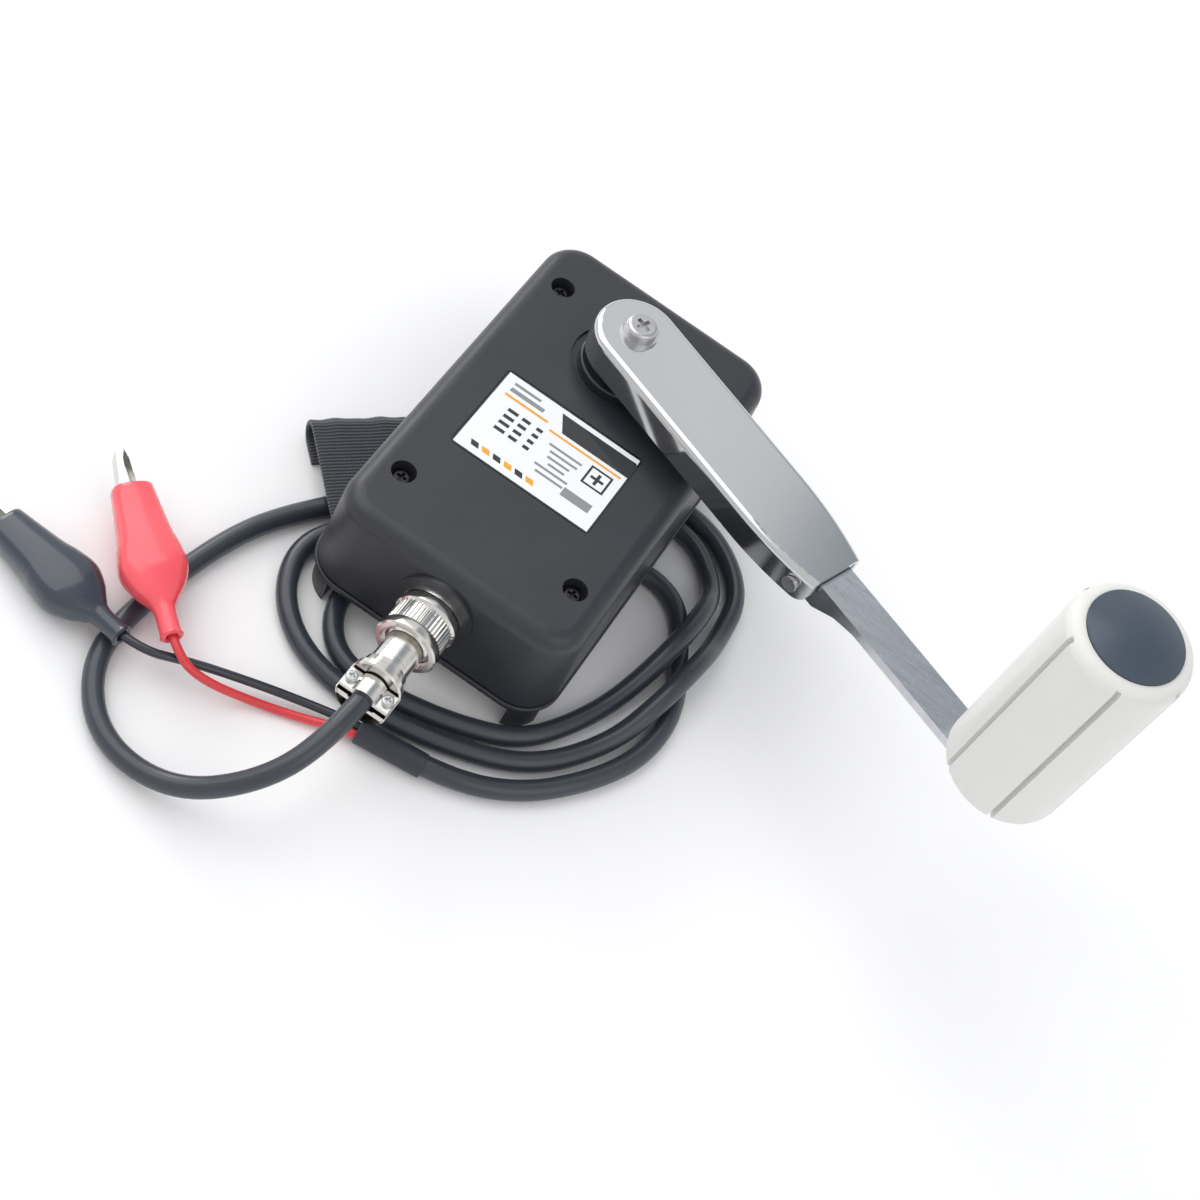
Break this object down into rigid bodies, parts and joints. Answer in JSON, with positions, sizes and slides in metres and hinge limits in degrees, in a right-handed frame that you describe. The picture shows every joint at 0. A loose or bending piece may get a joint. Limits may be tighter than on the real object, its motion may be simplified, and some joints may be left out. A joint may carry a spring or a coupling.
{
  "type": "hand crank generator",
  "caption": "Hand crank generator in a black moulded case with a folding steel crank, white grip, screw plug, cable, two crocodile clips and a hand strap.",
  "frame": {"origin": "under the centre of the cover screw pattern, on the plane of the feet", "axes": "+Z out of the face with the crank, +Y toward the crank shaft end, +X across the housing"},
  "size_m": [0.2822, 0.2085, 0.1325],
  "materials": {
    "black_abs": "satin moulded ABS",
    "label_print": "printed plate with a clear film",
    "zinc_steel": "zinc plated",
    "polished_steel": "polished stainless sheet",
    "bar_steel": "polished bar with drawing lines",
    "bronze": "sintered bronze",
    "gear_steel": "oiled cut steel",
    "gear_nylon": "glass filled nylon",
    "rotor_steel": "deep drawn steel",
    "magnet": "nickel plated",
    "lamination": "coated laminations",
    "copper": "enamelled copper",
    "board": "solder mask",
    "component": "moulded",
    "plated_brass": "nickel plated",
    "phenolic": "moulded",
    "cable_pvc": "semi-gloss sheath",
    "shrink": "shrunk sleeve",
    "black_wire_pvc": "semi-gloss insulation",
    "red_wire_pvc": "semi-gloss insulation",
    "red_pvc": "soft glossy PVC",
    "black_pvc": "soft glossy PVC",
    "clip_steel": "nickel plated",
    "grip_abs": "off-white moulded plastic",
    "cap_abs": "dark slate moulded plastic",
    "webbing": "woven nylon webbing"
  },
  "bodies": {
    "housing": {"front_cover": "black_abs", "rear_cover": "black_abs", "hub_ring": "black_abs", "strap_bar": "black_abs", "rating_label": "label_print", "cover_screws": "zinc_steel", "plate_screws": "zinc_steel", "strap_screws": "zinc_steel", "clamp_screws": "zinc_steel", "gear_plate": "zinc_steel", "gear_axles": "zinc_steel", "black_clip_pin": "zinc_steel", "red_clip_pin": "zinc_steel", "black_clip_spring": "zinc_steel", "red_clip_spring": "zinc_steel", "front_bearing": "bronze", "rear_bearing": "bronze", "rotor_bearings": "bronze", "stator_base": "rotor_steel", "stator_core": "lamination", "stator_windings": "copper", "regulator_board": "board", "board_components": "component", "panel_socket": "plated_brass", "socket_nut": "plated_brass", "plug_sleeve": "plated_brass", "cable_clamp": "plated_brass", "socket_insert": "phenolic", "plug_insert": "phenolic", "cable_lead": "cable_pvc", "cable_coil": "cable_pvc", "heat_shrink": "shrink", "black_wire": "black_wire_pvc", "red_wire": "red_wire_pvc", "inner_leads": "red_wire_pvc", "red_boot": "red_pvc", "black_boot": "black_pvc", "black_fixed_jaw": "clip_steel", "red_fixed_jaw": "clip_steel", "hand_strap": "webbing"},
    "crank": {"crank_shaft": "bar_steel", "drive_gear": "gear_nylon", "crank_arm": "polished_steel", "arm_hub": "black_abs", "arm_washer": "zinc_steel", "arm_screw": "zinc_steel", "fold_pin": "zinc_steel"},
    "handle": {"handle_bar": "bar_steel", "grip_spindle": "zinc_steel"},
    "grip": {"grip_sleeve": "grip_abs", "grip_cap": "cap_abs"},
    "first_gear": {"first_gear": "gear_steel"},
    "second_gear": {"second_gear": "gear_steel"},
    "rotor": {"generator_pinion": "gear_steel", "rotor_shaft": "zinc_steel", "rotor_bell": "rotor_steel", "rotor_magnets": "magnet"},
    "coupling_ring": {"coupling_ring": "plated_brass"},
    "black_jaw": {"black_moving_jaw": "clip_steel"},
    "red_jaw": {"red_moving_jaw": "clip_steel"}
  },
  "joints": [
    {"name": "crank_turn", "type": "hinge", "parent": "housing", "child": "crank", "pos_m": [0, 0.0305, 0.05], "axis": [0, 0, 1], "continuous": true},
    {"name": "first_gear_spin", "type": "hinge", "parent": "housing", "child": "first_gear", "pos_m": [-0.01201, 0.00301, 0.035], "axis": [0, 0, 1], "continuous": true},
    {"name": "second_gear_spin", "type": "hinge", "parent": "housing", "child": "second_gear", "pos_m": [0.00795, -0.00716, 0.032], "axis": [0, 0, 1], "continuous": true},
    {"name": "rotor_spin", "type": "hinge", "parent": "housing", "child": "rotor", "pos_m": [0.00002, -0.02497, 0.02], "axis": [0, 0, 1], "continuous": true},
    {"name": "handle_fold", "type": "hinge", "parent": "crank", "child": "handle", "pos_m": [0.07764, 0.00116, 0.0555], "axis": [0.3535, 0.9354, 0], "range_deg": [0, 90]},
    {"name": "grip_spin", "type": "hinge", "parent": "handle", "child": "grip", "pos_m": [0.1464, -0.02482, 0.09], "axis": [0, 0, 1], "continuous": true},
    {"name": "coupling_ring_turn", "type": "hinge", "parent": "housing", "child": "coupling_ring", "pos_m": [0, -0.074, 0.0295], "axis": [0, -1, 0], "continuous": true},
    {"name": "black_jaw_open", "type": "hinge", "parent": "housing", "child": "black_jaw", "pos_m": [-0.08989, -0.10742, 0.00654], "axis": [-0.0962, 0.0211, 0.9951], "range_deg": [0, 18], "stiffness_Nm_per_rad": 0.05, "springref_deg": -17.19, "deforming": ["black_boot"]},
    {"name": "red_jaw_open", "type": "hinge", "parent": "housing", "child": "red_jaw", "pos_m": [-0.07315, -0.08827, 0.0125], "axis": [0, 0, 1], "range_deg": [0, 18], "stiffness_Nm_per_rad": 0.05, "springref_deg": -17.19, "deforming": ["red_boot"]}
  ],
  "couplings": [
    {"joint": "first_gear_spin", "follows": "crank_turn", "ratio": -4},
    {"joint": "second_gear_spin", "follows": "crank_turn", "ratio": 14.286},
    {"joint": "rotor_spin", "follows": "crank_turn", "ratio": -47.619}
  ]
}
